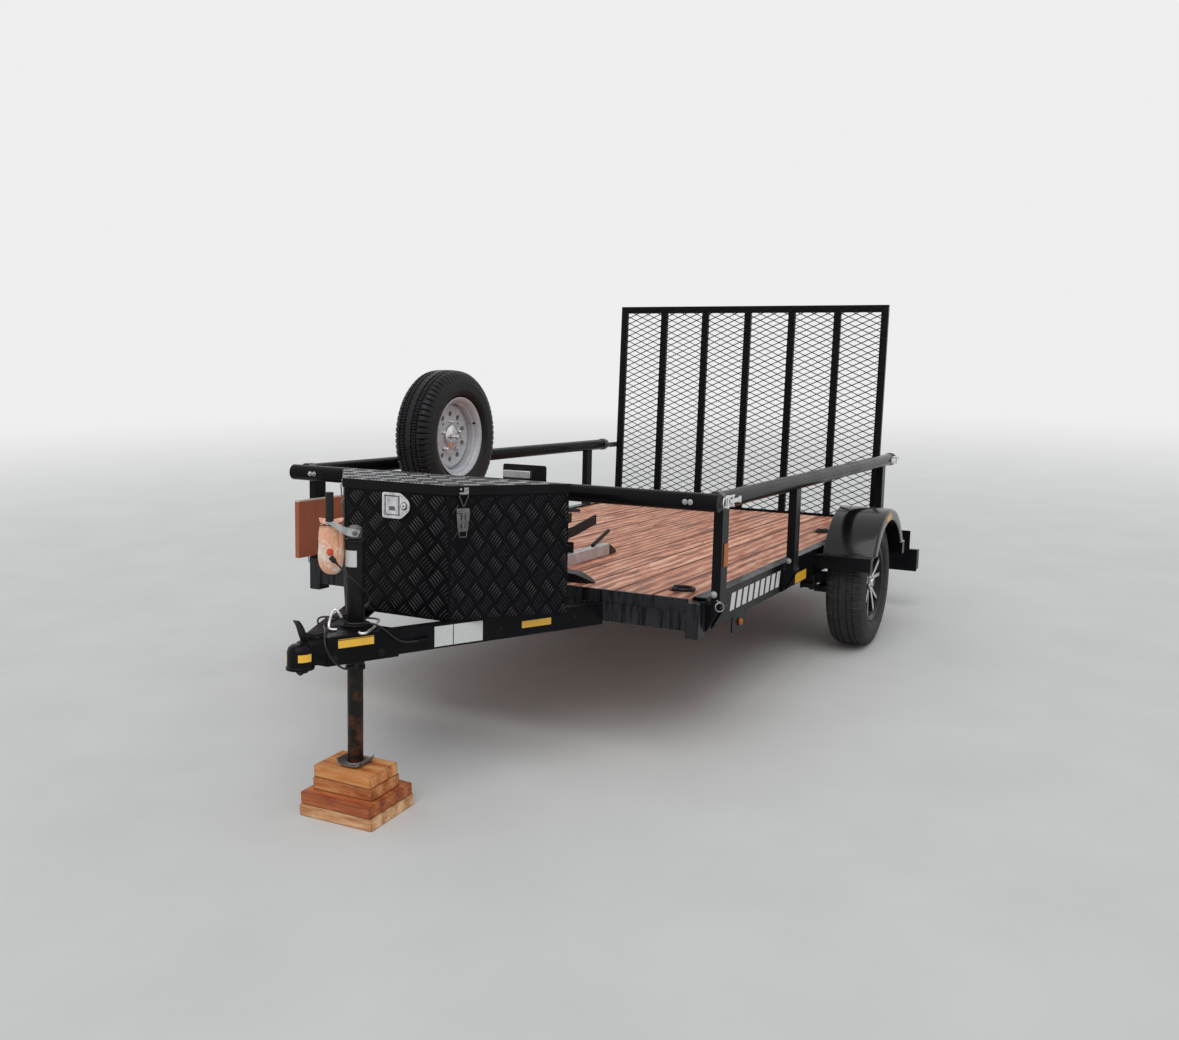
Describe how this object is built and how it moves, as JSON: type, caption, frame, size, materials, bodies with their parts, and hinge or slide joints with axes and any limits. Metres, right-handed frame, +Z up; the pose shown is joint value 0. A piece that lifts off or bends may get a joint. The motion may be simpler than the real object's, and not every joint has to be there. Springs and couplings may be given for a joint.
{
  "type": "utility trailer",
  "caption": "Single-axle open utility trailer with a wooden deck, tube rails, mesh ramp gate, tongue tool box and spare wheel, parked nose-up on its jack.",
  "frame": {"origin": "on the floor under the middle of the parked trailer's bounding box", "axes": "+Y to the rear, the tongue points to -Y, +Z up, X across; the deck slopes up to the nose"},
  "size_m": [2.16, 3.8796, 1.5512],
  "materials": {
    "alloy": "black and machined alloy",
    "black_plate": "black powder-coated tread plate",
    "black_steel": "semi-gloss black enamel",
    "block_wood": "weathered sawn timber",
    "board_wood": "brown stained panel",
    "cord_black": "black vinyl",
    "deck_wood": "red-brown stained softwood",
    "fender_paint": "gloss black",
    "lamp_plastic": "lamp housing",
    "leg_paint": "black enamel, worn",
    "silver_steel": "silver paint",
    "soft_wrap": "thin orange plastic bag",
    "tyre_rubber": "worn rubber",
    "zinc": "zinc plated"
  },
  "bodies": {
    "trailer": {"axle_beam": "black_steel", "box_locks": "zinc", "cable_anchors": "zinc", "cable_hooks": "zinc", "chock_base": "silver_steel", "chock_cradle": "black_steel", "coupler": "black_steel", "coupler_latch": "black_steel", "cross_members": "black_steel", "deck_boards": "deck_wood", "fender_arms": "black_steel", "fenders": "fender_paint", "front_beam": "black_steel", "jack_crank": "zinc", "jack_tube": "black_steel", "lead_clip": "cord_black", "lead_plug": "cord_black", "leaf_springs": "black_steel", "plug_bag": "soft_wrap", "plug_lead": "cord_black", "posts": "black_steel", "rail_clamps": "zinc", "rail_front": "black_steel", "rear_beam": "black_steel", "safety_cable_left": "cord_black", "safety_cable_right": "cord_black", "side_beams": "black_steel", "side_markers": "black_steel", "side_panel": "board_wood", "side_rails": "black_steel", "spare_carrier": "black_steel", "spare_rim": "silver_steel", "spare_tyre": "tyre_rubber", "spring_hangers": "black_steel", "tail_lamps": "lamp_plastic", "tie_rings": "black_steel", "tongue_channels": "black_steel", "tool_box": "black_plate"},
    "jack_leg": {"jack_leg": "leg_paint", "block_stack": "block_wood"},
    "gate": {"gate_frame": "black_steel", "gate_mesh_falling": "black_steel", "gate_mesh_rising": "black_steel"},
    "tool_box_lid": {"tool_box_lid": "black_plate"},
    "wheel_left": {"tyre_left": "tyre_rubber", "wheel_left": "alloy"},
    "wheel_right": {"tyre_right": "tyre_rubber", "wheel_right": "alloy"}
  },
  "joints": [
    {"name": "wheel_left_spin", "type": "hinge", "parent": "trailer", "child": "wheel_left", "pos_m": [0.9475, 0.79375, 0.295], "axis": [1, 0, 0], "continuous": true},
    {"name": "wheel_right_spin", "type": "hinge", "parent": "trailer", "child": "wheel_right", "pos_m": [-0.9475, 0.79375, 0.295], "axis": [1, 0, 0], "continuous": true},
    {"name": "gate_hinge", "type": "hinge", "parent": "trailer", "child": "gate", "pos_m": [0, 1.79974, 0.35707], "axis": [-1, 0, 0], "range_deg": [0, 98]},
    {"name": "tool_box_lid_hinge", "type": "hinge", "parent": "trailer", "child": "tool_box_lid", "pos_m": [0, -1.10789, 0.97377], "axis": [-1, 0, 0], "range_deg": [0, 80]},
    {"name": "jack_slide", "type": "slide", "parent": "trailer", "child": "jack_leg", "axis": [0, 0.0637, 0.998], "range_m": [0, 0.25]}
  ]
}
